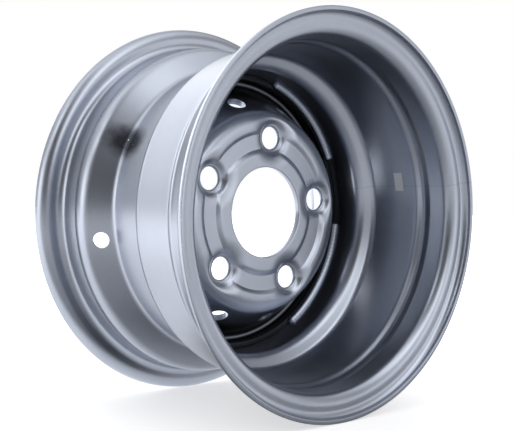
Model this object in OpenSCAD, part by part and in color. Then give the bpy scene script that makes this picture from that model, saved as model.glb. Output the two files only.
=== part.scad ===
// Pressed steel wheel for a light trailer: a rolled drop-centre rim and a pressed
// disc welded into its well. The axle runs along Y, the hub side faces -Y.

/* [Rim] */
// Diameter over the flanges
flange_diameter = 285; // [270:0.5:300]
// Width over the flange edges
overall_width = 170.4; // [150:0.1:190]
// Width between the flanges, where the tyre sits
inside_width = 152.4; // [130:0.1:165]
// Bead seat diameter where it meets the flange
bead_diameter = 253.2; // [250:0.1:256]
// Thickness of the rim strip
rim_sheet = 3; // [2:0.1:4]
// Taper of the bead seats in degrees
seat_taper = 5; // [3:0.5:8]
// Bend radius of the flange curl, at mid-sheet
curl_bend = 7; // [5:0.1:7.4]
// Bend radius between bead seat and flange, at mid-sheet
heel_bend = 7.5; // [5:0.1:9]
// Distance from the rim's centre to the toe of each bead seat
seat_toe = 59.7; // [56:0.1:64]
// Distance from the rim's centre to the crest of each safety hump
hump_crest = 52.3; // [50:0.1:54]
// Radius of the hump crest, on the tyre side
hump_radius = 126.4; // [125:0.1:128]
// Bend radius at the humps' crests and feet, at mid-sheet
hump_bend = 3.2; // [2:0.1:4]

/* [Well] */
// Radius of the well, on the tyre side
well_radius = 108; // [104:0.1:112]
// Outboard corner of the well, from the rim's centre
well_outboard = 37; // [34:0.1:40]
// Inboard corner of the well, from the rim's centre
well_inboard = 1; // [-4:0.1:6]
// Bend radius at the well's corners, at mid-sheet
well_bend = 8; // [5:0.1:10]
// Outboard end of the long ledge beside the well
ledge_start = -5; // [-8.5:0.1:-3]
// Radius of the ledge at its outboard end, on the tyre side
ledge_start_radius = 119.4; // [117:0.1:122]
// Inboard end of the ledge, at the foot of the hump
ledge_end = -47.2; // [-48.5:0.1:-42.5]
// Radius of the ledge at its inboard end, on the tyre side
ledge_end_radius = 123.1; // [121:0.1:125]
// Bend radius at the ledge's outboard end, at mid-sheet
ledge_bend = 3.5; // [2:0.1:5]

/* [Valve hole] */
// Diameter of the valve hole
valve_diameter = 11.5; // [11:0.1:16]
// Axial place of the valve hole on the slope into the well
valve_place = 44; // [42:0.1:47]

/* [Disc] */
// Thickness of the disc sheet
disc_sheet = 4.5; // [3:0.1:6]
// Axial place of the hub face; negative is inboard of the rim's centre
hub_face = -4; // [-10:0.5:10]
// Diameter of the centre bore
bore_diameter = 67; // [57:0.1:70]
// Chamfer at the bore's edge
bore_chamfer = 0.6; // [0.2:0.1:1]
// Radius where the groove in the hub face starts, at mid-sheet
groove_inner = 44.8; // [42:0.1:48]
// Radius where the groove in the hub face ends, at mid-sheet
groove_outer = 60.2; // [58:0.1:62]
// Depth of the groove in the hub face
groove_depth = 2; // [1:0.1:3]
// Half the run of the groove's sloping walls
groove_slope = 1.6; // [1:0.1:2.5]
// Bend radius of the groove's walls, at mid-sheet
groove_bend = 3; // [2.5:0.1:4]
// Bend radius of the crown, at mid-sheet
crown_bend = 10.8; // [8:0.1:14]
// Angle between the skirt and the axle in degrees
skirt_angle = 30; // [20:1:40]
// Radius of the skirt's outer surface at the vent holes
skirt_radius = 82.2; // [78:0.1:86]
// Bend radius where the skirt turns back into the flange, at mid-sheet
turn_bend = 5.5; // [4:0.1:7]
// Axial place of the disc flange's free edge
flange_edge = 27; // [24:0.1:30]
// Least straight length that the flange keeps beyond its turn
flange_least = 2; // [1:0.1:5]

/* [Bolt seats] */
// Bolt circle diameter
bolt_circle = 112; // [98:1:130]
// Number of bolt holes
bolt_count = 5; // [4:1:6]
// Diameter of the bolt holes at their narrowest
bolt_hole = 16.6; // [14:0.1:18]
// Turn of the bolt circle about the axle in degrees
clock = 10.2; // [0:0.1:72]
// Radius of the dish around a bolt hole, at the hub face
dish_radius = 18; // [16:0.1:19]
// Run of the gentle slope at the dish's edge
edge_run = 5.4; // [4:0.1:6]
// Depth of the gentle slope at the dish's edge
edge_depth = 2.2; // [1:0.1:2.6]
// Radius of the dish's floor, at the foot of its steep wall
dish_floor = 10.8; // [10.2:0.1:11.5]
// Depth of the dish below the hub face
dish_depth = 4.8; // [3:0.1:6]
// Radius of the hole's mouth on the hub side
mouth_radius = 10; // [9:0.1:11]
// Depth of the hole's mouth
mouth_depth = 1.9; // [1:0.1:2.2]
// Length of the round land between the mouth and the seat cone
seat_land = 0.4; // [0.2:0.1:0.8]
// Angle of the bolt seat cone in degrees
seat_cone = 60; // [60:1:90]

/* [Vent holes] */
// Number of pairs of vent holes in the skirt
vent_pairs = 4; // [3:1:5]
// Angle between the two vent holes of a pair in degrees
vent_spread = 33.2; // [25:0.1:40]
// Diameter of a vent hole
vent_diameter = 14; // [10:0.5:18]
// Axial place of the vent holes on the skirt's outer surface
vent_place = 13; // [10:0.1:16]
// Turn of the first pair of vent holes from the bolt holes in degrees
vent_turn = 74.6; // [0:0.1:90]

/* [Welds] */
// Leg of the weld bead between disc flange and rim
weld_leg = 4.2; // [3:0.1:5]
// Start and end of each weld bead in degrees
weld_runs = [[23, 72], [113, 163], [203, 253], [301, 355]];

/* [Hidden] */
$fn = 160;
eps = 0.02;
cut_over = 1;
arc_step = 7.5;
half_rim = rim_sheet / 2;
half_disc = disc_sheet / 2;
flange_plane = inside_width / 2 + half_rim;
flange_mid = flange_diameter / 2 - half_rim;
heel_mid = bead_diameter / 2 - half_rim;
toe_mid = heel_mid - (flange_plane - seat_toe) * tan(seat_taper);
hump_mid = hump_radius - half_rim;
well_mid = well_radius - half_rim;
well_inside = well_radius - rim_sheet;
bore_radius = bore_diameter / 2;
bolt_radius = bolt_circle / 2;
hole_radius = bolt_hole / 2;

// Mid-sheet line of the rim from the outboard to the inboard edge: place, radius, bend
rim_line = [
    [overall_width / 2, flange_mid, 0],
    [flange_plane, flange_mid, curl_bend],
    [flange_plane, heel_mid, heel_bend],
    [seat_toe, toe_mid, hump_bend],
    [hump_crest, hump_mid, hump_bend],
    [well_outboard, well_mid, well_bend],
    [well_inboard, well_mid, well_bend],
    [ledge_start, ledge_start_radius - half_rim, ledge_bend],
    [ledge_end, ledge_end_radius - half_rim, hump_bend],
    [-hump_crest, hump_mid, hump_bend],
    [-seat_toe, toe_mid, hump_bend],
    [-flange_plane, heel_mid, heel_bend],
    [-flange_plane, flange_mid, curl_bend],
    [-overall_width / 2, flange_mid, 0],
];

// The slope between hump and well that carries the valve hole
slope_angle = atan2(hump_mid - well_mid, hump_crest - well_outboard);
valve_mid = well_mid + (valve_place - well_outboard) * tan(slope_angle);

// Mid-sheet line of the disc from the bore to the flange's free edge
face_mid = hub_face + half_disc;
skirt_mid_radius = skirt_radius - half_disc * cos(skirt_angle);
skirt_mid_place = vent_place + half_disc * sin(skirt_angle);
crown_corner = skirt_mid_radius - (skirt_mid_place - face_mid) * tan(skirt_angle);
disc_edge_mid = well_inside - half_disc;
turn_corner = skirt_mid_place + (disc_edge_mid - skirt_mid_radius) / tan(skirt_angle);
turn_start = turn_corner - turn_bend * tan(90 - skirt_angle / 2);
flange_end = min(flange_edge, turn_start - flange_least);
disc_line = [
    [face_mid, bore_radius, 0],
    [face_mid, groove_inner - groove_slope, groove_bend],
    [face_mid + groove_depth, groove_inner + groove_slope, groove_bend],
    [face_mid + groove_depth, groove_outer - groove_slope, groove_bend],
    [face_mid, groove_outer + groove_slope, groove_bend],
    [face_mid, crown_corner, crown_bend],
    [turn_corner, disc_edge_mid, turn_bend],
    [flange_end, disc_edge_mid, 0],
];

// Bolt seats: the dish's steep wall, and the boss that follows it on the outboard side
wall_radius = dish_radius - edge_run;
wall_place = hub_face + edge_depth;
floor_place = hub_face + dish_depth;
seat_low = floor_place + mouth_depth + seat_land;
seat_top = floor_place + disc_sheet;
cone_end = seat_top + cut_over;
cone_radius = hole_radius + (cone_end - seat_low) * tan(seat_cone / 2);
boss_low = hub_face + 0.9 * disc_sheet;
wall_lean = atan2(wall_radius - dish_floor, floor_place - wall_place);
function boss_radius(y) = wall_radius + disc_sheet / cos(wall_lean) - (y - wall_place) * tan(wall_lean);

function spot(p) = [p[1], p[0]];
function way(line, i) = let (d = spot(line[i + 1]) - spot(line[i])) d / norm(d);
function turn(line, i) = let (a = way(line, i - 1), b = way(line, i)) atan2(cross(a, b), a * b);
function left_of(d) = [-d[1], d[0]];
function heading(a) = [cos(a), sin(a)];

// Points of one corner's arc, a stated distance to the left of the mid-sheet line
function bend_points(line, i, off) =
    let (
        radius = line[i][2],
        swing = turn(line, i),
        d = way(line, i - 1),
        to_centre = left_of(d) * sign(swing),
        centre = spot(line[i]) - d * radius * tan(abs(swing) / 2) + to_centre * radius,
        from = atan2(-to_centre[1], -to_centre[0]),
        steps = ceil(abs(swing) / arc_step)
    )
    [for (k = [0 : steps]) centre + (radius - sign(swing) * off) * heading(from + swing * k / steps)];

// Points of one face of the sheet, a stated distance to the left of its mid-sheet line
function face_points(line, off) =
    let (last = len(line) - 1)
    [
        spot(line[0]) + left_of(way(line, 0)) * off,
        for (i = [1 : last - 1]) each bend_points(line, i, off),
        spot(line[last]) + left_of(way(line, last - 1)) * off,
    ];

function backwards(list) = [for (i = [len(list) - 1 : -1 : 0]) list[i]];

// Section of a bent sheet along its mid-sheet line
module sheet(line, thick) {
    polygon(concat(face_points(line, thick / 2), backwards(face_points(line, -thick / 2))));
}

// Turns a section of radius and place about the axle
module revolve(angle = 360) {
    rotate([-90, 0, 0])
        rotate_extrude(angle = angle)
            children();
}

// Moves a child from the axle's +X side to an angle seen from the hub side
module at_angle(a) {
    rotate([0, -a, 0])
        children();
}

// Cylinder or cone along +Y between two axial places
module plug(from, to, r1, r2) {
    translate([0, from, 0])
        rotate([-90, 0, 0])
            cylinder(h = to - from, r1 = r1, r2 = r2);
}

// Rolled rim with its valve hole
module rim() {
    color("silver")
        difference() {
            revolve()
                sheet(rim_line, rim_sheet);
            at_angle(clock + 180)
                translate([valve_mid, valve_place, 0])
                    rotate([0, 0, -slope_angle])
                        rotate([0, 90, 0])
                            cylinder(h = 6 * rim_sheet, d = valve_diameter, center = true);
        }
}

// Section of the space above one bolt seat, from the hub side
module dish_section() {
    polygon([
        [0, hub_face - cut_over],
        [dish_radius + cut_over * edge_run / edge_depth, hub_face - cut_over],
        [wall_radius, wall_place],
        [dish_floor, floor_place],
        [mouth_radius, floor_place],
        [hole_radius, floor_place + mouth_depth],
        [0, floor_place + mouth_depth],
    ]);
}

// Pressed disc: grooved hub face, dished bolt seats, crown, vented skirt and turned flange
module wheel_disc() {
    color("gainsboro")
        difference() {
            union() {
                revolve()
                    sheet(disc_line, disc_sheet);
                for (k = [0 : bolt_count - 1])
                    at_angle(clock + k * 360 / bolt_count)
                        translate([bolt_radius, 0, 0])
                            plug(boss_low, seat_top, boss_radius(boss_low), boss_radius(seat_top));
            }
            plug(hub_face - eps, hub_face + bore_chamfer, bore_radius + bore_chamfer + eps, bore_radius);
            for (k = [0 : bolt_count - 1])
                at_angle(clock + k * 360 / bolt_count)
                    translate([bolt_radius, 0, 0]) {
                        revolve()
                            dish_section();
                        plug(hub_face, cone_end, hole_radius, hole_radius);
                        plug(seat_low, cone_end, hole_radius, cone_radius);
                    }
            for (k = [0 : vent_pairs - 1], side = [-0.5, 0.5])
                at_angle(clock + vent_turn + k * 360 / vent_pairs + side * vent_spread)
                    translate([skirt_mid_radius, skirt_mid_place, 0])
                        rotate([0, 0, -skirt_angle])
                            rotate([0, 90, 0])
                                cylinder(h = 2.6 * disc_sheet, d = vent_diameter, center = true);
        }
}

// Quarter-round weld beads between the disc flange's edge and the well
module welds() {
    root = [well_inside, flange_end];
    color("darkgray")
        for (run = weld_runs)
            at_angle(run[1])
                revolve(run[1] - run[0])
                    polygon(concat(
                        [root],
                        [for (a = [0 : arc_step : 90]) root - weld_leg * heading(a)]
                    ));
}

rim();
wheel_disc();
welds();
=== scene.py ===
"""Looks of a pressed steel trailer wheel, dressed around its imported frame.

Lengths in the classes are millimetres, as on the wheel's own drawing, and meshes are built in metres.
The axle runs along Y and the hub side faces -Y. Angles are degrees seen from the hub side, turning
from +X towards +Z.
"""

from __future__ import annotations

import logging
import math
from collections.abc import Callable, Iterable
from dataclasses import dataclass, field
from enum import Enum
from typing import Any

import bmesh
import bpy
from mathutils import Matrix, Vector

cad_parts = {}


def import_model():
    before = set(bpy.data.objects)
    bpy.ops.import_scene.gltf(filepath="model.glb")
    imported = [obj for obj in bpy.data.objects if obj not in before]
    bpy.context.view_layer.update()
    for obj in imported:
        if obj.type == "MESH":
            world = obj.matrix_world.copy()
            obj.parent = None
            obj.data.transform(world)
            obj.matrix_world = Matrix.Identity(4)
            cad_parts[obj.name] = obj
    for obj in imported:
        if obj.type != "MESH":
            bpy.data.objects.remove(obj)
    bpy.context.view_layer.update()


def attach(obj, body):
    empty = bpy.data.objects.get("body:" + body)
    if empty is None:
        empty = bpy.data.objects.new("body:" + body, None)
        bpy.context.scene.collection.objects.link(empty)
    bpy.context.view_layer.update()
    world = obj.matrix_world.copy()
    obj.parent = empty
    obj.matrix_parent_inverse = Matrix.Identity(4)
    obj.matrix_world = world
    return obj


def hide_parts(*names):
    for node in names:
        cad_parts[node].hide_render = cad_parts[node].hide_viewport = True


MM = 0.001
AXLE = Vector((0.0, 1.0, 0.0))

Colour = tuple[float, float, float, float]
Sockets = dict[str, bpy.types.NodeSocket]

log = logging.getLogger("wheel")


class Slot(Enum):
    """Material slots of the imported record."""

    RIM = "rim_paint"
    DISC = "disc_paint"
    WELD = "weld_paint"


class WearAndShade(Enum):
    """Marks that a painted piece can carry: real wear, painted shade and a painted dark reflection."""

    CHIPPED_EDGE = "chipped_edge"
    BUTT_SEAM = "butt_seam"
    # Painted dark reflection in the rim's outer well, with real scratches through it.
    PAINTED_REFLECTION_AND_SCRATCHES = "painted_reflection_and_scratches"
    # Painted shade deep behind the disc's skirt.
    PAINTED_RECESS_SHADE = "painted_recess_shade"


def on_wheel(radius: float, place: float, angle: float) -> Vector:
    """Turns a wheel position into a point of the frame.

    Args:
        radius: Distance from the axle in millimetres.
        place: Position along the axle in millimetres.
        angle: Angle about the axle in degrees.

    Returns:
        The point in metres.
    """
    turn = math.radians(angle)
    return Vector((radius * math.cos(turn), place, radius * math.sin(turn))) * MM


def eased(share: float) -> float:
    """Smooth step of a share held between 0 and 1."""
    held = min(1.0, max(0.0, share))
    return held * held * (3.0 - 2.0 * held)


def deeper(first: float, second: float, blend: float) -> float:
    """Smooth maximum of two depths, rounded over a blend width."""
    near = max(blend - abs(first - second), 0.0) / blend
    return max(first, second) + near * near * blend / 4.0


def shallower(first: float, second: float, blend: float) -> float:
    """Smooth minimum of two depths, rounded over a blend width."""
    return -deeper(-first, -second, blend)


def left_of(direction: Vector) -> Vector:
    """Direction in a section's plane, turned a quarter to the left."""
    return Vector((-direction.y, direction.x))


@dataclass(frozen=True)
class Corner:
    """One corner of a sheet's mid-line.

    Attributes:
        place: Position along the axle.
        radius: Distance from the axle.
        bend: Bend radius at mid-sheet, 0 at a cut edge.
    """

    place: float
    radius: float
    bend: float = 0.0

    @property
    def spot(self) -> Vector:
        """The corner as a point of radius and place."""
        return Vector((self.radius, self.place))


@dataclass(frozen=True)
class SheetSection:
    """Section of a sheet that is bent along its mid-line.

    Attributes:
        line: Corners of the mid-line, with a cut edge at both ends.
        thickness: Thickness of the sheet.
        edge_round: Rounding of the corners of the cut edges.
        straight_step: Longest step between points on a straight stretch.
        arc_step: Largest step between points on a bend, in degrees.
    """

    line: tuple[Corner, ...]
    thickness: float
    edge_round: float = 0.5
    straight_step: float = 2.5
    arc_step: float = 6.0

    def heading(self, index: int) -> Vector:
        """Direction of the stretch that starts at a corner."""
        return (self.line[index + 1].spot - self.line[index].spot).normalized()

    def bend_points(self, index: int, offset: float) -> list[Vector]:
        """Points along one bend, to the left of the mid-line.

        Args:
            index: The corner's index in the mid-line.
            offset: Distance to the left of the mid-line.

        Returns:
            Points of radius and place, in order.
        """
        before, after = self.heading(index - 1), self.heading(index)
        swing = math.atan2(before.x * after.y - before.y * after.x, before.dot(after))
        side = math.copysign(1.0, swing)
        bend = self.line[index].bend
        to_centre = left_of(before) * side
        start = self.line[index].spot - before * bend * math.tan(abs(swing) / 2.0)
        centre = start + to_centre * bend
        first = math.atan2(-to_centre.y, -to_centre.x)
        steps = max(2, math.ceil(abs(math.degrees(swing)) / self.arc_step))
        reach = bend - side * offset
        turns = (first + swing * step / steps for step in range(steps + 1))
        return [centre + reach * Vector((math.cos(turn), math.sin(turn))) for turn in turns]

    def face(self, offset: float) -> list[Vector]:
        """Points of one face of the sheet from end to end.

        Args:
            offset: Distance to the left of the mid-line.

        Returns:
            Points of radius and place, with short steps on the straights.
        """
        last = len(self.line) - 1
        ahead, behind = self.heading(0), self.heading(last - 1)
        corners = [self.line[0].spot + ahead * self.edge_round + left_of(ahead) * offset]
        for index in range(1, last):
            corners += self.bend_points(index, offset)
        corners.append(self.line[last].spot - behind * self.edge_round + left_of(behind) * offset)
        points = [corners[0]]
        for corner in corners[1:]:
            count = max(1, math.ceil((corner - points[-1]).length / self.straight_step))
            origin = points[-1]
            points += [origin.lerp(corner, step / count) for step in range(1, count + 1)]
        return points

    def cut_edge(self, end: Vector, outward: Vector) -> list[Vector]:
        """Points round one cut edge, from the left of its outward direction to the right.

        Args:
            end: The mid-line's end point.
            outward: Unit direction out of the sheet.

        Returns:
            Points of radius and place, without those that the faces already have.
        """
        left = left_of(outward)
        inset = self.thickness / 2.0 - self.edge_round
        points = []
        for side, turns in ((1.0, (30.0, 60.0, 90.0)), (-1.0, (90.0, 60.0, 30.0))):
            centre = end - outward * self.edge_round + left * side * inset
            for turn in map(math.radians, turns):
                reach = left * side * math.cos(turn) + outward * math.sin(turn)
                points.append(centre + self.edge_round * reach)
        return points

    def outline(self) -> list[Vector]:
        """Joins both faces and both cut edges.

        Returns:
            Points of radius and place round the whole section.
        """
        half = self.thickness / 2.0
        last = len(self.line) - 1
        far_edge = self.cut_edge(self.line[last].spot, self.heading(last - 1))
        near_edge = self.cut_edge(self.line[0].spot, -self.heading(0))
        return self.face(half) + far_edge + self.face(-half)[::-1] + near_edge


def turned(
    outline: Iterable[Vector], steps: int, sweep: float = 360.0, start: float = 0.0
) -> bmesh.types.BMesh:
    """Turns a closed outline about the axle.

    Args:
        outline: Points of radius and place in millimetres.
        steps: Number of steps round the sweep.
        sweep: Angle of the sweep in degrees.
        start: Angle of the first section in degrees.

    Returns:
        A closed mesh for a full turn, and an open one with its end sections free otherwise.
    """
    mesh = bmesh.new()
    verts = [mesh.verts.new(on_wheel(point.x, point.y, start)) for point in outline]
    edges = [mesh.edges.new((verts[i - 1], verts[i])) for i in range(len(verts))]
    full = sweep >= 360.0
    bmesh.ops.spin(
        mesh,
        geom=verts + edges,
        cent=(0.0, 0.0, 0.0),
        axis=-AXLE,
        angle=math.radians(sweep),
        steps=steps,
        use_merge=full,
        use_duplicate=False,
    )
    if full:
        bmesh.ops.remove_doubles(mesh, verts=mesh.verts, dist=1e-6)
        bmesh.ops.recalc_face_normals(mesh, faces=mesh.faces)
    return mesh


def as_object(name: str, mesh: bmesh.types.BMesh) -> bpy.types.Object:
    """Makes a scene object of a bmesh and frees the bmesh.

    Args:
        name: Name of the object and of its mesh.
        mesh: The bmesh, which can't be used afterwards.

    Returns:
        The object, linked to the scene.
    """
    data = bpy.data.meshes.new(name)
    mesh.to_mesh(data)
    mesh.free()
    piece = bpy.data.objects.new(name, data)
    bpy.context.scene.collection.objects.link(piece)
    return piece


def join_to(whole: bmesh.types.BMesh, part: bmesh.types.BMesh) -> None:
    """Adds one bmesh to another and frees it.

    Args:
        whole: The bmesh that grows.
        part: The bmesh that is added, which can't be used afterwards.
    """
    data = bpy.data.meshes.new("part")
    part.to_mesh(data)
    part.free()
    whole.from_mesh(data)
    bpy.data.meshes.remove(data)


def round_drill(
    diameter: float, depth: float, middle: Vector, angle: float, lean: float, sides: int
) -> bmesh.types.BMesh:
    """Makes a round drill that stands square to a sloping sheet.

    Args:
        diameter: Diameter of the hole in millimetres.
        depth: Length of the drill in millimetres.
        middle: Radius and place of the drill's middle in millimetres.
        angle: Angle of the hole about the axle in degrees.
        lean: Slope of the sheet against the axle in degrees.
        sides: Number of sides of the drill.

    Returns:
        The closed drill.
    """
    drill = bmesh.new()
    radius = diameter / 2.0 * MM
    bmesh.ops.create_cone(
        drill, cap_ends=True, segments=sides, radius1=radius, radius2=radius, depth=depth * MM
    )
    aim = Matrix.Rotation(math.radians(-angle), 4, "Y") @ Matrix.Rotation(math.radians(-lean), 4, "Z")
    aim = Matrix.Translation(on_wheel(middle.x, middle.y, angle)) @ aim
    aim = aim @ Matrix.Rotation(math.pi / 2.0, 4, "Y")
    bmesh.ops.transform(drill, matrix=aim, verts=drill.verts)
    return drill


def smoothed(piece: bpy.types.Object, sharp_angle: float = 32.0) -> None:
    """Shades a piece smooth, apart from edges sharper than an angle in degrees."""
    piece.data.shade_smooth()
    piece.data.set_sharp_from_angle(angle=math.radians(sharp_angle))


def cut_away(piece: bpy.types.Object, cutter: bpy.types.Object) -> None:
    """Cuts one piece with another, keeps the result and deletes the cutter.

    Args:
        piece: The object that is cut.
        cutter: The object that is taken away from it.
    """
    modifier = piece.modifiers.new("cut", "BOOLEAN")
    modifier.operation = "DIFFERENCE"
    modifier.solver = "EXACT"
    modifier.object = cutter
    result = bpy.data.meshes.new_from_object(piece.evaluated_get(bpy.context.evaluated_depsgraph_get()))
    piece.modifiers.clear()
    whole, piece.data = piece.data, result
    result.name = piece.name
    bpy.data.meshes.remove(whole)
    bpy.data.objects.remove(cutter)


class NodeSheet:
    """Adds and joins nodes in one node tree."""

    def __init__(self, tree: bpy.types.NodeTree) -> None:
        """Keeps the tree that the nodes go into."""
        self.tree = tree

    def add(self, kind: str, inputs: dict[str | int, Any] | None = None, **settings: Any) -> bpy.types.Node:
        """Adds one node.

        Args:
            kind: Blender's name for the node's type.
            inputs: Value or source socket of each named or numbered input.
            **settings: Properties of the node itself.

        Returns:
            The new node.
        """
        node = self.tree.nodes.new(kind)
        for name, value in settings.items():
            setattr(node, name, value)
        for key, value in (inputs or {}).items():
            self.feed(node.inputs[key], value)
        return node

    def feed(self, socket: bpy.types.NodeSocket, value: Any) -> None:
        """Links a socket to a source socket, or sets its value.

        Args:
            socket: The input that is fed.
            value: A source socket or a plain value.
        """
        if isinstance(value, bpy.types.NodeSocket):
            self.tree.links.new(value, socket)
        else:
            socket.default_value = value

    def math(self, operation: str, *values: Any) -> bpy.types.NodeSocket:
        """Adds a Math node and returns its result."""
        return self.add("ShaderNodeMath", dict(enumerate(values)), operation=operation).outputs[0]

    def noise(self, vector: Any, scale: float, detail: float) -> bpy.types.NodeSocket:
        """Adds a Noise Texture and returns its value."""
        inputs = {"Vector": vector, "Scale": scale, "Detail": detail}
        return self.add("ShaderNodeTexNoise", inputs).outputs["Fac"]

    def fade(self, value: Any, start: float, end: float) -> bpy.types.NodeSocket:
        """Maps a value smoothly to 0 at start and 1 at end."""
        inputs = {"Value": value, "From Min": start, "From Max": end}
        return self.add("ShaderNodeMapRange", inputs, interpolation_type="SMOOTHSTEP").outputs["Result"]

    def tint(self, share: Any, first: Any, second: Any) -> bpy.types.NodeSocket:
        """Mixes two colours.

        Args:
            share: Share of the second colour.
            first: Colour, or its socket, at a share of 0.
            second: Colour, or its socket, at a share of 1.

        Returns:
            The mixed colour.
        """
        node = self.add("ShaderNodeMix", data_type="RGBA")
        self.feed(node.inputs["Factor"], share)
        self.feed(node.inputs["A"], first)
        self.feed(node.inputs["B"], second)
        return node.outputs["Result"]

    def scaled(self, colour: Colour, share: Any) -> bpy.types.NodeSocket:
        """Scales a colour by a share and returns the result."""
        inputs = {0: colour[:3], "Scale": share}
        return self.add("ShaderNodeVectorMath", inputs, operation="SCALE").outputs[0]


def blank_material(name: str) -> tuple[bpy.types.Material, NodeSheet, bpy.types.Node]:
    """Starts a material.

    Args:
        name: Name of the material.

    Returns:
        The material, its nodes and its shader.
    """
    material = bpy.data.materials.new(name)
    material.use_nodes = True
    tree = material.node_tree
    return material, NodeSheet(tree), tree.nodes["Principled BSDF"]


@dataclass(frozen=True)
class EffectGroup:
    """A shader node group that is built once and placed in several materials.

    Attributes:
        name: Name of the group.
        inputs: Name of each input with its default.
        outputs: Names of the value outputs.
        fill: Makes the inner nodes and returns the output sockets by name.
    """

    name: str
    inputs: dict[str, float | None]
    outputs: tuple[str, ...]
    fill: Callable[[NodeSheet, bpy.types.Node], Sockets]

    def tree(self) -> bpy.types.NodeTree:
        """Builds the group's tree on first use.

        Returns:
            The tree, the same one each time.
        """
        known = bpy.data.node_groups.get(self.name)
        if known:
            return known
        tree = bpy.data.node_groups.new(self.name, "ShaderNodeTree")
        for name, default in self.inputs.items():
            kind = "NodeSocketVector" if default is None else "NodeSocketFloat"
            socket = tree.interface.new_socket(name, in_out="INPUT", socket_type=kind)
            if default is not None:
                socket.default_value = default
        for name in self.outputs:
            tree.interface.new_socket(name, in_out="OUTPUT", socket_type="NodeSocketFloat")
        sheet = NodeSheet(tree)
        results = self.fill(sheet, tree.nodes.new("NodeGroupInput"))
        sheet.add("NodeGroupOutput", dict(results))
        return tree

    def place(self, sheet: NodeSheet, inputs: dict[str, Any]) -> bpy.types.Node:
        """Places the group in a material.

        Args:
            sheet: The material's nodes.
            inputs: Value or source socket of each named input.

        Returns:
            The group node.
        """
        node = sheet.add("ShaderNodeGroup", node_tree=self.tree())
        for name, value in inputs.items():
            sheet.feed(node.inputs[name], value)
        return node


def fill_wheel_place(sheet: NodeSheet, source: bpy.types.Node) -> Sockets:
    """Finds where on the wheel a point is.

    Args:
        sheet: The group's nodes.
        source: The group's input node.

    Returns:
        Radius and place in millimetres, and angle in degrees.
    """
    parts = sheet.add("ShaderNodeSeparateXYZ", {0: source.outputs["Vector"]}).outputs
    across = sheet.math("MULTIPLY", parts["X"], parts["X"])
    radius = sheet.math("SQRT", sheet.math("MULTIPLY_ADD", parts["Z"], parts["Z"], across))
    turn = sheet.math("ARCTAN2", parts["Z"], parts["X"])
    return {
        "Radius": sheet.math("DIVIDE", radius, MM),
        "Place": sheet.math("DIVIDE", parts["Y"], MM),
        "Angle": sheet.math("DEGREES", turn),
    }


def fill_paint_skin(sheet: NodeSheet, source: bpy.types.Node) -> Sockets:
    """Makes the flake grain, cloudiness and faint orange peel of a sprayed coat.

    Args:
        sheet: The group's nodes.
        source: The group's input node.

    Returns:
        Change of tone, and height of the surface.
    """
    vector = source.outputs["Vector"]
    flake = sheet.noise(vector, 1500.0, detail=1.0)
    cloud = sheet.noise(vector, 28.0, detail=3.0)
    peel = sheet.noise(vector, 330.0, detail=1.5)
    grain = sheet.math("MULTIPLY", sheet.math("SUBTRACT", flake, 0.5), source.outputs["Grain"])
    drift = sheet.math("MULTIPLY", sheet.math("SUBTRACT", cloud, 0.5), source.outputs["Cloud"])
    height = sheet.math("MULTIPLY_ADD", flake, 0.25, peel)
    return {"Tone": sheet.math("ADD", grain, drift), "Height": height}


def fill_edge_chips(sheet: NodeSheet, source: bpy.types.Node) -> Sockets:
    """Makes fine specks of bare steel along a stretch of the hub side's cut edge.

    Args:
        sheet: The group's nodes.
        source: The group's input node.

    Returns:
        Mask of the specks.
    """
    hub_side = sheet.fade(source.outputs["Place"], -84.6, -85.0)
    edge = sheet.math("MULTIPLY", hub_side, source.outputs["Angle"])
    stretch = sheet.fade(sheet.math("ABSOLUTE", edge), 158.0, 172.0)
    corner = sheet.fade(source.outputs["Radius"], 141.2, 142.0)
    specks = sheet.fade(sheet.noise(source.outputs["Vector"], 900.0, detail=2.0), 0.6, 0.68)
    return {"Mask": sheet.math("MULTIPLY", sheet.math("MULTIPLY", stretch, corner), specks)}


def fill_butt_seam(sheet: NodeSheet, source: bpy.types.Node) -> Sockets:
    """Makes the ground-down butt weld that closes the rolled strip.

    Args:
        sheet: The group's nodes.
        source: The group's input node.

    Returns:
        Masks of the weld's line and of the ground strip beside it.
    """
    off = sheet.math("ABSOLUTE", sheet.math("SUBTRACT", source.outputs["Angle"], source.outputs["Seam"]))
    grinding = sheet.noise(source.outputs["Vector"], 700.0, detail=2.0)
    return {
        "Line": sheet.fade(off, 0.3, 0.08),
        "Ground": sheet.math("MULTIPLY", sheet.fade(off, 3.0, 1.0), grinding),
    }


def fill_painted_reflection_and_scratches(sheet: NodeSheet, source: bpy.types.Node) -> Sockets:
    """Makes a painted dark reflection as a dark patch in the coat, with scratches of bare steel through it.

    Args:
        sheet: The group's nodes.
        source: The group's input node.

    Returns:
        Masks of the patch and of the scratches.
    """
    half_length, half_width = 7.0, 16.0
    vector = source.outputs["Vector"]
    angle = sheet.math("SUBTRACT", source.outputs["Angle"], source.outputs["At angle"])
    place = sheet.math("SUBTRACT", source.outputs["Place"], source.outputs["At place"])
    along = sheet.math("DIVIDE", angle, half_length)
    across = sheet.math("DIVIDE", place, half_width)
    squares = sheet.math("MULTIPLY_ADD", along, along, sheet.math("MULTIPLY", across, across))
    spread = sheet.math("SQRT", squares)
    waver = sheet.math("SUBTRACT", sheet.noise(vector, 120.0, detail=3.0), 0.5)
    patch = sheet.fade(sheet.math("MULTIPLY_ADD", waver, 0.5, spread), 1.2, 0.4)
    specks = sheet.fade(sheet.noise(vector, 620.0, detail=2.0), 0.64, 0.72)
    middle = sheet.fade(spread, 0.5, 0.25)
    return {"Patch": patch, "Scratch": sheet.math("MULTIPLY", specks, middle)}


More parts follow.
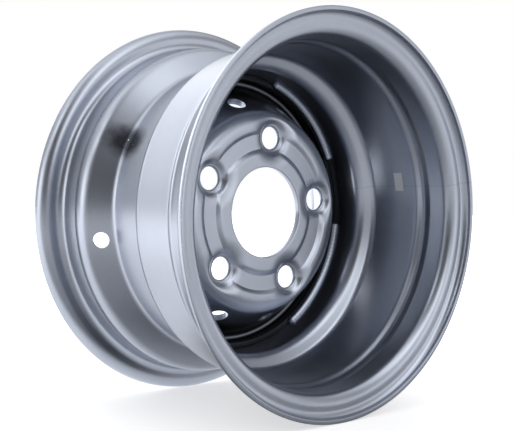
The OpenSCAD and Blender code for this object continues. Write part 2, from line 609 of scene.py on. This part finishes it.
def fill_painted_recess_shade(sheet: NodeSheet, source: bpy.types.Node) -> Sockets:
    """Finds the deep recess behind the skirt, where the coat is darkened nearly to black as painted shade.

    Args:
        sheet: The group's nodes.
        source: The group's input node.

    Returns:
        Mask of the painted shade.
    """
    skirt_slope, skirt_start = 0.577, 72.1
    place = source.outputs["Place"]
    middle = sheet.math("MULTIPLY_ADD", place, skirt_slope, skirt_start)
    outer = sheet.fade(sheet.math("SUBTRACT", source.outputs["Radius"], middle), -0.8, 0.8)
    deep = sheet.math("MULTIPLY", sheet.fade(place, 13.0, 29.0), sheet.fade(place, 37.5, 34.5))
    return {"Mask": sheet.math("MULTIPLY", outer, deep)}


WHEEL_PLACE = EffectGroup("wheel_place", {"Vector": None}, ("Radius", "Place", "Angle"), fill_wheel_place)
PAINT_SKIN = EffectGroup(
    "paint_skin", {"Vector": None, "Grain": 0.2, "Cloud": 0.2}, ("Tone", "Height"), fill_paint_skin
)
EDGE_CHIPS = EffectGroup(
    "edge_chips", {"Vector": None, "Radius": 0.0, "Place": 0.0, "Angle": 0.0}, ("Mask",), fill_edge_chips
)
BUTT_SEAM = EffectGroup(
    "butt_seam", {"Vector": None, "Angle": 0.0, "Seam": 0.0}, ("Line", "Ground"), fill_butt_seam
)
# Painted dark reflection, with scratches of bare steel through it.
PAINTED_REFLECTION_AND_SCRATCHES = EffectGroup(
    "painted_reflection_and_scratches",
    {"Vector": None, "Angle": 0.0, "Place": 0.0, "At angle": 0.0, "At place": 0.0},
    ("Patch", "Scratch"),
    fill_painted_reflection_and_scratches,
)
# Painted shade: darkens the coat in the recess behind the skirt.
PAINTED_RECESS_SHADE = EffectGroup("painted_recess_shade", {"Radius": 0.0, "Place": 0.0}, ("Mask",), fill_painted_recess_shade)


@dataclass(frozen=True)
class SilverPaint:
    """Sprayed silver-grey metallic paint on steel.

    Attributes:
        name: Name of the material.
        colour: Mean colour of the coat.
        shade: Colour of the painted dark reflection and of the seam's line.
        bare: Colour of bare steel.
        recess_shade_colour: Colour of the painted shade deep behind the skirt.
        metallic: Share of the light that the flakes mirror.
        roughness: Mean roughness of the coat.
        grain: Strength of the flake grain.
        cloud: Strength of the slow change of tone.
        bump: Strength of the orange peel.
        coat: Strength of the gloss over the flakes.
        seam_angle: Angle of the butt weld about the axle.
        reflection_angle: Angle of the painted dark reflection about the axle.
        reflection_place: Place of the painted dark reflection along the axle.
        wear_and_shade: Marks that the piece carries, real wear and painted light alike.
    """

    name: str
    colour: Colour = (0.445, 0.475, 0.54, 1.0)
    shade: Colour = (0.05, 0.055, 0.07, 1.0)
    bare: Colour = (0.80, 0.81, 0.84, 1.0)
    recess_shade_colour: Colour = (0.02, 0.022, 0.026, 1.0)
    metallic: float = 0.97
    roughness: float = 0.3
    grain: float = 0.12
    cloud: float = 0.14
    bump: float = 0.05
    coat: float = 0.1
    seam_angle: float = 10.2
    reflection_angle: float = 153.0
    reflection_place: float = 34.0
    wear_and_shade: frozenset[WearAndShade] = frozenset()

    def material(self) -> bpy.types.Material:
        """Builds the paint.

        Returns:
            The material, with its pattern on Object coordinates.
        """
        material, sheet, shader = blank_material(self.name)
        vector = sheet.add("ShaderNodeTexCoord").outputs["Object"]
        skin = PAINT_SKIN.place(sheet, {"Vector": vector, "Grain": self.grain, "Cloud": self.cloud}).outputs
        plain = sheet.scaled(self.colour, sheet.math("ADD", skin["Tone"], 1.0))
        tone, height = self.marked(sheet, vector, plain, skin["Height"])
        rough = sheet.math("MULTIPLY_ADD", skin["Tone"], 0.25, self.roughness)
        bump = sheet.add("ShaderNodeBump", {"Strength": self.bump, "Distance": 0.0005, "Height": height})
        sheet.feed(shader.inputs["Base Color"], tone)
        sheet.feed(shader.inputs["Roughness"], rough)
        sheet.feed(shader.inputs["Normal"], bump.outputs["Normal"])
        shader.inputs["Metallic"].default_value = self.metallic
        shader.inputs["Coat Weight"].default_value = self.coat
        shader.inputs["Coat Roughness"].default_value = 0.18
        return material

    def marked(
        self,
        sheet: NodeSheet,
        vector: bpy.types.NodeSocket,
        tone: bpy.types.NodeSocket,
        height: bpy.types.NodeSocket,
    ) -> tuple[bpy.types.NodeSocket, bpy.types.NodeSocket]:
        """Lays the piece's marks over the plain coat.

        Args:
            sheet: The material's nodes.
            vector: Object coordinates.
            tone: Colour of the plain coat.
            height: Height of the plain coat.

        Returns:
            Colour and height with the marks.
        """
        place = WHEEL_PLACE.place(sheet, {"Vector": vector}).outputs
        # Painted shade: the coat goes nearly black deep behind the skirt, where shade falls.
        if WearAndShade.PAINTED_RECESS_SHADE in self.wear_and_shade:
            recess_mask = PAINTED_RECESS_SHADE.place(sheet, {"Radius": place["Radius"], "Place": place["Place"]}).outputs
            tone = sheet.tint(recess_mask["Mask"], tone, self.recess_shade_colour)
        # Painted reflection: a dark patch in the outer well stands in for a mirrored dark surround; the
        # scratches are real wear.
        if WearAndShade.PAINTED_REFLECTION_AND_SCRATCHES in self.wear_and_shade:
            at = {"At angle": self.reflection_angle, "At place": self.reflection_place}
            inputs = {"Vector": vector, "Angle": place["Angle"], "Place": place["Place"], **at}
            painted_reflection_and_scratches = PAINTED_REFLECTION_AND_SCRATCHES.place(sheet, inputs).outputs
            tone = sheet.tint(sheet.math("MULTIPLY", painted_reflection_and_scratches["Patch"], 0.92), tone, self.shade)
            tone = sheet.tint(painted_reflection_and_scratches["Scratch"], tone, self.bare)
        if WearAndShade.BUTT_SEAM in self.wear_and_shade:
            inputs = {"Vector": vector, "Angle": place["Angle"], "Seam": self.seam_angle}
            seam = BUTT_SEAM.place(sheet, inputs).outputs
            tone = sheet.tint(sheet.math("MULTIPLY", seam["Line"], 0.14), tone, self.shade)
            height = sheet.math("MULTIPLY_ADD", seam["Line"], -0.1, height)
            height = sheet.math("MULTIPLY_ADD", seam["Ground"], 0.5, height)
        if WearAndShade.CHIPPED_EDGE in self.wear_and_shade:
            inputs = {"Vector": vector, **{name: place[name] for name in ("Radius", "Place", "Angle")}}
            chips = EDGE_CHIPS.place(sheet, inputs).outputs
            tone = sheet.tint(chips["Mask"], tone, self.bare)
            height = sheet.math("MULTIPLY_ADD", chips["Mask"], -1.0, height)
        return tone, height


@dataclass(frozen=True)
class LabelPaper:
    """Blank matt paper of a stuck-on label.

    Attributes:
        name: Name of the material.
        colour: Mean colour of the paper.
    """

    name: str = "label_paper"
    colour: Colour = (0.84, 0.86, 0.90, 1.0)

    def material(self) -> bpy.types.Material:
        """Builds the paper, with faint fibres in its colour and surface.

        Returns:
            The material, with its pattern on Object coordinates.
        """
        material, sheet, shader = blank_material(self.name)
        vector = sheet.add("ShaderNodeTexCoord").outputs["Object"]
        fibres = sheet.noise(vector, 1400.0, detail=3.0)
        tone = sheet.scaled(self.colour, sheet.math("MULTIPLY_ADD", fibres, 0.16, 0.92))
        bump = sheet.add("ShaderNodeBump", {"Strength": 0.1, "Distance": 0.0002, "Height": fibres})
        sheet.feed(shader.inputs["Base Color"], tone)
        sheet.feed(shader.inputs["Normal"], bump.outputs["Normal"])
        shader.inputs["Roughness"].default_value = 0.6
        return material


# Real wear on the rim, together with a painted dark reflection.
RIM_WEAR_AND_REFLECTION = frozenset({WearAndShade.CHIPPED_EDGE, WearAndShade.BUTT_SEAM, WearAndShade.PAINTED_REFLECTION_AND_SCRATCHES})
# The disc carries only painted shade.
DISC_PAINTED_SHADE = frozenset({WearAndShade.PAINTED_RECESS_SHADE})


@dataclass
class Rim:
    """Rolled drop-centre rim with its valve hole.

    Radii and diameters are those of the tyre's side of the sheet. Bends are at mid-sheet.
    """

    flange_diameter: float = 285.0
    overall_width: float = 170.4
    inside_width: float = 152.4
    bead_diameter: float = 253.2
    sheet: float = 3.0
    seat_taper: float = 5.0
    curl_bend: float = 7.0
    heel_bend: float = 7.5
    seat_toe: float = 59.7
    hump_crest: float = 52.3
    hump_radius: float = 126.4
    hump_bend: float = 3.2
    crest_bend: float = 7.0
    slope_bend: float = 10.0
    well_radius: float = 108.0
    well_outboard: float = 37.0
    well_inboard: float = 1.0
    well_bend: float = 8.0
    ledge_start: float = -5.0
    ledge_start_radius: float = 119.4
    ledge_end: float = -47.2
    ledge_end_radius: float = 123.1
    ledge_bend: float = 7.0
    valve_diameter: float = 11.5
    valve_place: float = 44.0
    valve_angle: float = 190.2
    steps: int = 264
    paint: SilverPaint = field(default_factory=lambda: SilverPaint("rim_silver", wear_and_shade=RIM_WEAR_AND_REFLECTION))

    @property
    def well_mid(self) -> float:
        """Radius of the well at mid-sheet."""
        return self.well_radius - self.sheet / 2.0

    @property
    def hump_mid(self) -> float:
        """Radius of the humps' crests at mid-sheet."""
        return self.hump_radius - self.sheet / 2.0

    def inside_of_ledge(self, place: float) -> float:
        """Radius of the ledge's inner surface at a place along the axle."""
        rise = (self.ledge_end_radius - self.ledge_start_radius) / (self.ledge_end - self.ledge_start)
        return self.ledge_start_radius + (place - self.ledge_start) * rise - self.sheet

    def section(self) -> SheetSection:
        """Draws the section of the rolled strip.

        Returns:
            The section, from the outboard to the inboard edge.
        """
        half = self.sheet / 2.0
        edge = self.overall_width / 2.0
        wall = self.inside_width / 2.0 + half
        lip = self.flange_diameter / 2.0 - half
        heel = self.bead_diameter / 2.0 - half
        toe = heel - (wall - self.seat_toe) * math.tan(math.radians(self.seat_taper))
        line = (
            Corner(edge, lip),
            Corner(wall, lip, self.curl_bend),
            Corner(wall, heel, self.heel_bend),
            Corner(self.seat_toe, toe, self.hump_bend),
            Corner(self.hump_crest, self.hump_mid, self.slope_bend),
            Corner(self.well_outboard, self.well_mid, self.well_bend),
            Corner(self.well_inboard, self.well_mid, self.well_bend),
            Corner(self.ledge_start, self.ledge_start_radius - half, self.ledge_bend),
            Corner(self.ledge_end, self.ledge_end_radius - half, self.crest_bend),
            Corner(-self.hump_crest, self.hump_mid, self.crest_bend),
            Corner(-self.seat_toe, toe, self.hump_bend),
            Corner(-wall, heel, self.heel_bend),
            Corner(-wall, lip, self.curl_bend),
            Corner(-edge, lip),
        )
        return SheetSection(line, self.sheet, edge_round=0.45)

    def valve_drill(self) -> bpy.types.Object:
        """Makes the drill for the valve hole, in the slope between hump and well.

        Returns:
            The drill.
        """
        rise = (self.hump_mid - self.well_mid) / (self.hump_crest - self.well_outboard)
        lean = math.degrees(math.atan(rise))
        radius = self.well_mid + (self.valve_place - self.well_outboard) * rise
        middle = Vector((radius, self.valve_place))
        drill = round_drill(self.valve_diameter, 6.0 * self.sheet, middle, self.valve_angle, lean, 64)
        for face in drill.faces:
            face.smooth = True
        return as_object("valve_drill", drill)

    def build(self) -> bpy.types.Object:
        """Turns, drills and paints the rim.

        Returns:
            The piece, riding on the frame in place of its node.
        """
        piece = as_object("rolled_rim", turned(self.section().outline(), self.steps))
        cut_away(piece, self.valve_drill())
        smoothed(piece)
        piece.data.materials.append(self.paint.material())
        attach(piece, "root")
        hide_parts("rim")
        return piece


@dataclass
class WheelDisc:
    """Pressed disc with grooved hub face, dished bolt seats, vented skirt and turned flange.

    The hub face, the skirt and the flange are given by their outer surfaces, and bends at mid-sheet.
    Sizes of a bolt seat run from its own axis.
    """

    sheet: float = 4.5
    hub_face: float = -4.0
    bore_diameter: float = 67.0
    groove_inner: float = 44.8
    groove_outer: float = 60.2
    groove_depth: float = 2.0
    groove_slope: float = 1.6
    groove_bend: float = 3.0
    crown_bend: float = 10.8
    skirt_angle: float = 30.0
    skirt_radius: float = 82.2
    turn_bend: float = 5.5
    flange_edge: float = 27.0
    flange_radius: float = 105.0
    bolt_circle: float = 112.0
    bolt_count: int = 5
    bolt_hole: float = 16.6
    clock: float = 10.2
    dish_radius: float = 18.0
    edge_run: float = 5.4
    edge_depth: float = 2.2
    dish_floor: float = 10.8
    dish_depth: float = 4.8
    mouth_radius: float = 10.0
    mouth_depth: float = 1.9
    seat_land: float = 0.4
    seat_cone: float = 60.0
    vent_pairs: int = 4
    vent_spread: float = 33.2
    vent_diameter: float = 14.0
    vent_place: float = 13.0
    vent_turn: float = 74.6
    press_blend: float = 2.2
    steps: int = 288
    paint: SilverPaint = field(default_factory=lambda: SilverPaint("disc_silver", wear_and_shade=DISC_PAINTED_SHADE))

    @property
    def skirt_middle(self) -> Vector:
        """Mid-sheet point of the skirt at the vent holes, as radius and place."""
        lean, half = math.radians(self.skirt_angle), self.sheet / 2.0
        return Vector((self.skirt_radius - half * math.cos(lean), self.vent_place + half * math.sin(lean)))

    def section(self) -> SheetSection:
        """Draws the section of the disc.

        Returns:
            The section, from the bore to the flange's free edge.
        """
        half = self.sheet / 2.0
        face = self.hub_face + half
        rise = math.tan(math.radians(self.skirt_angle))
        middle = self.skirt_middle
        flange = self.flange_radius - half
        crown = middle.x - (middle.y - face) * rise
        turn = middle.y + (flange - middle.x) / rise
        sunk = face + self.groove_depth
        line = (
            Corner(face, self.bore_diameter / 2.0),
            Corner(face, self.groove_inner - self.groove_slope, self.groove_bend),
            Corner(sunk, self.groove_inner + self.groove_slope, self.groove_bend),
            Corner(sunk, self.groove_outer - self.groove_slope, self.groove_bend),
            Corner(face, self.groove_outer + self.groove_slope, self.groove_bend),
            Corner(face, crown, self.crown_bend),
            Corner(turn, flange, self.turn_bend),
            Corner(self.flange_edge, flange),
        )
        return SheetSection(line, self.sheet, edge_round=0.6, straight_step=1.4)

    def bolt_axes(self) -> list[Vector]:
        """Points on the bolt holes' axes, in the plane of the rim's centre."""
        turn = 360.0 / self.bolt_count
        return [on_wheel(self.bolt_circle / 2.0, 0.0, self.clock + turn * k) for k in range(self.bolt_count)]

    def dish_place(self, distance: float, behind: bool) -> float:
        """Place of the pressed seat at a distance from its bolt's axis.

        Args:
            distance: Distance from the bolt's axis in millimetres.
            behind: True for the outboard face of the sheet.

        Returns:
            Position along the axle in millimetres.
        """
        wall = self.dish_radius - self.edge_run
        fall = (self.dish_depth - self.edge_depth) / (wall - self.dish_floor)
        start = self.hub_face + self.edge_depth
        floor = self.hub_face + self.dish_depth
        if behind:
            spread = self.sheet * math.hypot(1.0, fall) / fall
            return shallower(start + (wall + spread - distance) * fall, floor + self.sheet, self.press_blend)
        gentle = self.hub_face + (self.dish_radius - distance) * self.edge_depth / self.edge_run
        pressed = deeper(gentle, start + (wall - distance) * fall, self.press_blend)
        return shallower(pressed, floor, self.press_blend)

    def press_seats(self, mesh: bmesh.types.BMesh) -> None:
        """Presses the bolt seats into both faces of the turned sheet.

        Args:
            mesh: The turned sheet, which gets finer faces in the seats first.
        """
        axes = self.bolt_axes()
        reach = (self.dish_radius + self.sheet) * MM
        fine_from, fine_to, fine_behind = 7.0 * MM, self.dish_radius * MM, 4.0 * MM

        def nearest(point: Vector) -> float:
            """Distance in metres of a point from the nearest bolt's axis."""
            return min(math.hypot(point.x - axis.x, point.z - axis.z) for axis in axes)

        middles = [(face, face.calc_center_median()) for face in mesh.faces]
        before = [(face, middle) for face, middle in middles if middle.y < fine_behind]
        seats = [face for face, middle in before if fine_from < nearest(middle) < fine_to]
        edges = dict.fromkeys(edge for face in seats for edge in face.edges)
        bmesh.ops.subdivide_edges(mesh, edges=list(edges), cuts=1, use_grid_fill=True)
        mesh.normal_update()
        sides = [(vert, vert.normal.y > 0.0) for vert in mesh.verts if nearest(vert.co) < reach]
        for vert, behind in sides:
            seat = self.dish_place(nearest(vert.co) / MM, behind)
            vert.co.y = deeper(vert.co.y / MM, seat, self.press_blend) * MM

    def bolt_drill(self) -> list[Vector]:
        """Draws the tool that cuts a bolt hole with its flared mouth and seat cone.

        Returns:
            Points of radius from the bolt's axis and place, on the tool's outline.
        """
        hole = self.bolt_hole / 2.0
        floor = self.hub_face + self.dish_depth
        front, back = self.hub_face - 3.0, floor + self.sheet + 1.0
        flare = self.mouth_radius - hole
        seat_low = floor + self.mouth_depth + self.seat_land
        seat_rim = hole + (back - seat_low) * math.tan(math.radians(self.seat_cone / 2.0))
        turns = [math.radians(15.0 * k) for k in range(7)]
        mouth = [
            Vector((hole + flare * (1.0 - math.sin(turn)), floor + self.mouth_depth * (1.0 - math.cos(turn))))
            for turn in turns
        ]
        start = [Vector((0.0, front)), Vector((self.mouth_radius, front))]
        return start + mouth + [Vector((hole, seat_low)), Vector((seat_rim, back)), Vector((0.0, back))]

    def drills(self) -> bpy.types.Object:
        """Makes the tools for the bolt holes and the vent holes.

        Returns:
            All tools as one object.
        """
        tools = bmesh.new()
        for axis in self.bolt_axes():
            tool = turned(self.bolt_drill(), 72)
            bmesh.ops.translate(tool, vec=axis, verts=tool.verts)
            join_to(tools, tool)
        middle, depth = self.skirt_middle, 2.6 * self.sheet
        for k in range(2 * self.vent_pairs):
            side = k % 2 - 0.5
            angle = self.clock + self.vent_turn + 360.0 / self.vent_pairs * (k // 2) + side * self.vent_spread
            join_to(tools, round_drill(self.vent_diameter, depth, middle, angle, self.skirt_angle, 72))
        for face in tools.faces:
            face.smooth = True
        return as_object("disc_drills", tools)

    def build(self) -> bpy.types.Object:
        """Turns, presses, drills and paints the disc.

        Returns:
            The piece, riding on the frame in place of its node.
        """
        mesh = turned(self.section().outline(), self.steps)
        self.press_seats(mesh)
        piece = as_object("pressed_disc", mesh)
        cut_away(piece, self.drills())
        smoothed(piece, 38.0)
        piece.data.materials.append(self.paint.material())
        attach(piece, "root")
        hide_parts("wheel_disc")
        return piece


@dataclass
class WeldBeads:
    """Weld beads between the disc flange's edge and the rim's well.

    The runs are the first and last angle of each bead, and the taper is the length of a bead's end.
    """

    root_radius: float = 105.0
    root_place: float = 27.0
    leg: float = 4.2
    runs: tuple[tuple[float, float], ...] = ((23.0, 72.0), (113.0, 163.0), (203.0, 253.0), (301.0, 355.0))
    taper: float = 3.0
    ripple_pitch: float = 3.2
    ripple: float = 0.012
    end_share: float = 0.35
    paint: SilverPaint = field(default_factory=lambda: SilverPaint("weld_silver", bump=0.1, grain=0.2))

    def bead(self, start: float, end: float) -> bmesh.types.BMesh:
        """One rippled bead with tapered, closed ends.

        Args:
            start: First angle of the bead in degrees.
            end: Last angle of the bead in degrees.

        Returns:
            The closed bead.
        """
        root = Vector((self.root_radius, self.root_place))
        turns = [math.radians(90.0 * k / 10) for k in range(11)]
        arc = [root - self.leg * Vector((math.cos(turn), math.sin(turn))) for turn in turns]
        mesh = turned([root, *arc], int((end - start) * 4), end - start, start)
        for vert in mesh.verts:
            angle = math.degrees(math.atan2(vert.co.z, vert.co.x)) % 360.0
            run = math.radians(angle - start) * self.root_radius
            rest = math.radians(end - angle) * self.root_radius
            wave = 1.0 + self.ripple * (math.sin(2.0 * math.pi * run / self.ripple_pitch) - 1.0)
            swell = math.sqrt(eased(min(run, rest) / self.taper))
            close = self.end_share + (1.0 - self.end_share) * swell
            radius = math.hypot(vert.co.x, vert.co.z) / MM
            across = (Vector((radius, vert.co.y / MM)) - root) * wave * close
            vert.co = on_wheel(self.root_radius + across.x, self.root_place + across.y, angle)
        bmesh.ops.holes_fill(mesh, edges=mesh.edges, sides=0)
        bmesh.ops.recalc_face_normals(mesh, faces=mesh.faces)
        return mesh

    def build(self) -> bpy.types.Object:
        """Lays and paints all beads.

        Returns:
            The piece, riding on the frame in place of its node.
        """
        beads = bmesh.new()
        for start, end in self.runs:
            join_to(beads, self.bead(start, end))
        piece = as_object("weld_beads", beads)
        smoothed(piece, 50.0)
        piece.data.materials.append(self.paint.material())
        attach(piece, "root")
        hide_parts("welds")
        return piece


@dataclass
class BlankLabel:
    """Small blank label stuck inside the rim."""

    rim: Rim
    angles: tuple[float, float] = (8.4, 15.5)
    places: tuple[float, float] = (-35.8, -28.2)
    thickness: float = 0.12
    finish: LabelPaper = field(default_factory=LabelPaper)

    def build(self) -> bpy.types.Object:
        """Lays the label on the ledge's inner surface.

        Returns:
            The piece, riding on the frame.
        """
        low, high = self.places
        outline = [
            Vector((self.rim.inside_of_ledge(low), low)),
            Vector((self.rim.inside_of_ledge(high), high)),
            Vector((self.rim.inside_of_ledge(high) - self.thickness, high)),
            Vector((self.rim.inside_of_ledge(low) - self.thickness, low)),
        ]
        mesh = turned(outline, 12, self.angles[1] - self.angles[0], self.angles[0])
        bmesh.ops.holes_fill(mesh, edges=mesh.edges, sides=0)
        bmesh.ops.recalc_face_normals(mesh, faces=mesh.faces)
        piece = as_object("blank_label", mesh)
        smoothed(piece)
        piece.data.materials.append(self.finish.material())
        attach(piece, "root")
        return piece


@dataclass(frozen=True)
class SoftGlow:
    """One soft bright area of the studio's surround.

    Attributes:
        name: What the area is, as a label in the surround's nodes.
        azimuth: Direction from the wheel, 0 towards -Y and 90 towards +X, in degrees.
        elevation: Height above the horizon in degrees.
        strength: Brightness in the middle of the area.
        focus: How fast the glow falls off, a higher number being a smaller area.
    """

    name: str
    azimuth: float
    elevation: float
    strength: float
    focus: float = 16.0

    @property
    def towards(self) -> Vector:
        """Unit direction from the wheel to the middle of the area."""
        turn, lift = math.radians(self.azimuth), math.radians(self.elevation)
        return Vector((math.sin(turn) * math.cos(lift), -math.cos(turn) * math.cos(lift), math.sin(lift)))

    def level(self, sheet: NodeSheet, direction: bpy.types.NodeSocket) -> bpy.types.NodeSocket:
        """Adds the glow's nodes.

        Args:
            sheet: The surround's nodes.
            direction: Socket with the direction that is looked in.

        Returns:
            Brightness in that direction.
        """
        inputs = {0: direction, 1: self.towards}
        dot = sheet.add("ShaderNodeVectorMath", inputs, operation="DOT_PRODUCT", label=self.name)
        aligned = dot.outputs["Value"]
        fall = sheet.math("EXPONENT", sheet.math("MULTIPLY_ADD", aligned, self.focus, -self.focus))
        return sheet.math("MULTIPLY", fall, self.strength)


@dataclass
class Studio:
    """Pale floor, soft surround and the camera.

    The floor is darker near the wheel than far from it, as painted shade, over a span of distance in metres,
    and glows behind it as painted light, over a span along the axle. The camera's place is given by its
    angles and its distance.
    """

    floor_drop: float = 142.5
    floor_radius: float = 6.0
    floor_shaded_near: Colour = (0.5, 0.5, 0.51, 1.0)
    floor_far: Colour = (0.9, 0.9, 0.91, 1.0)
    floor_painted_glow: Colour = (0.8, 0.8, 0.8, 1.0)
    floor_lift: Colour = (0.62, 0.62, 0.62, 1.0)
    floor_shade_span: tuple[float, float] = (0.25, 0.7)
    painted_glow_span: tuple[float, float] = (0.0, 0.08)
    glows: tuple[SoftGlow, ...] = (
        SoftGlow("back_wall", 178.0, 9.0, 3.4),
        SoftGlow("back_wall_top", 158.0, 32.0, 1.2, 14.0),
        SoftGlow("back_corner", -158.0, 8.0, 0.6),
        SoftGlow("left_window", -100.0, 8.0, 2.3),
        SoftGlow("left_lamp", -84.0, 42.0, 2.4, 60.0),
        SoftGlow("front_lamp", -10.0, 22.0, 2.2, 50.0),
        SoftGlow("front_lamp_top", -4.0, 44.0, 1.2, 40.0),
        SoftGlow("front_card", 24.0, 6.0, 1.7),
        SoftGlow("right_wall", 72.0, 6.0, 1.2),
        SoftGlow("left_ceiling", -130.0, 54.0, 1.2, 12.0),
        SoftGlow("front_ceiling", 10.0, 58.0, 1.5, 12.0),
        SoftGlow("right_ceiling", 90.0, 54.0, 0.8, 12.0),
        SoftGlow("overhead", 180.0, 84.0, 0.8, 10.0),
    )
    haze: float = 0.1
    contrast: float = 0.85
    azimuth: float = -42.149
    elevation: float = 1.4465
    roll: float = 0.9466
    distance: float = 776.4
    lens: float = 73.04
    shift_x: float = -0.01152
    shift_y: float = -0.00635

    def floor(self) -> None:
        """Lays a wide round floor with painted shade near the wheel and a painted glow behind it, nearly
        white to the camera.
        """
        mesh = bmesh.new()
        bmesh.ops.create_circle(mesh, cap_ends=True, segments=96, radius=self.floor_radius)
        bmesh.ops.translate(mesh, vec=(0.0, 0.0, -self.floor_drop * MM), verts=mesh.verts)
        floor = as_object("floor", mesh)
        material, sheet, shader = blank_material("floor_pale")
        place = sheet.add("ShaderNodeTexCoord").outputs["Object"]
        away = sheet.add("ShaderNodeVectorMath", {0: place}, operation="LENGTH").outputs["Value"]
        along = sheet.add("ShaderNodeSeparateXYZ", {0: place}).outputs["Y"]
        # Painted shade: the floor's colour is darker near the wheel, standing in for the wheel's shadow.
        pale = sheet.tint(sheet.fade(away, *self.floor_shade_span), self.floor_shaded_near, self.floor_far)
        # Painted light: the floor glows behind the wheel, though it is no lamp, to light the wheel's lower
        # side.
        glow = sheet.tint(sheet.fade(along, *self.painted_glow_span), (0.0, 0.0, 0.0, 1.0), self.floor_painted_glow)
        seen = sheet.add("ShaderNodeLightPath").outputs["Is Camera Ray"]
        sheet.feed(shader.inputs["Emission Color"], sheet.tint(seen, glow, self.floor_lift))
        sheet.feed(shader.inputs["Base Color"], pale)
        shader.inputs["Emission Strength"].default_value = 1.0
        shader.inputs["Roughness"].default_value = 0.8
        floor.data.materials.append(material)

    def surround(self) -> None:
        """Makes the surround: plain white to the camera, soft glows to the wheel."""
        world = bpy.data.worlds.new("studio")
        world.use_nodes = True
        sheet = NodeSheet(world.node_tree)
        direction = sheet.add("ShaderNodeTexCoord").outputs["Generated"]
        total = self.haze
        for glow in self.glows:
            total = sheet.math("ADD", glow.level(sheet, direction), total)
        seen = sheet.add("ShaderNodeLightPath").outputs["Is Camera Ray"]
        strength = sheet.add("ShaderNodeMix", {"Factor": seen, "A": total, "B": 1.0}).outputs["Result"]
        backdrop = world.node_tree.nodes["Background"]
        sheet.feed(backdrop.inputs["Strength"], strength)
        backdrop.inputs["Color"].default_value = (1.0, 1.0, 1.0, 1.0)
        bpy.context.scene.world = world

    def camera(self) -> None:
        """Sets the camera at the photograph's viewing angle."""
        turn, lift, roll = (math.radians(angle) for angle in (self.azimuth, self.elevation, self.roll))
        back = Vector((math.sin(turn) * math.cos(lift), -math.cos(turn) * math.cos(lift), math.sin(lift)))
        level = Vector((math.cos(turn), math.sin(turn), 0.0))
        upright = back.cross(level)
        right = level * math.cos(roll) + upright * math.sin(roll)
        up = upright * math.cos(roll) - level * math.sin(roll)
        data = bpy.data.cameras.new("camera")
        data.lens = self.lens
        data.sensor_width = 36.0
        data.shift_x = self.shift_x
        data.shift_y = self.shift_y
        camera = bpy.data.objects.new("camera", data)
        pose = Matrix((right, up, back)).transposed().to_4x4()
        pose.translation = back * self.distance * MM
        camera.matrix_world = pose
        bpy.context.scene.collection.objects.link(camera)
        bpy.context.scene.camera = camera

    def build(self) -> None:
        """Sets up floor, surround and camera."""
        self.floor()
        self.surround()
        self.camera()
        view = bpy.context.scene.view_settings
        view.view_transform = "Standard"
        view.gamma = self.contrast


def main() -> None:
    """Loads the frame, builds each piece round it and sets up the studio."""
    logging.basicConfig(level=logging.INFO, format="%(name)s: %(message)s")
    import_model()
    rim = Rim()
    for part in (rim, WheelDisc(), WeldBeads(), BlankLabel(rim)):
        piece = part.build()
        log.info("%s: %d faces", piece.name, len(piece.data.polygons))
    Studio().build()


if __name__ == "__main__":
    main()
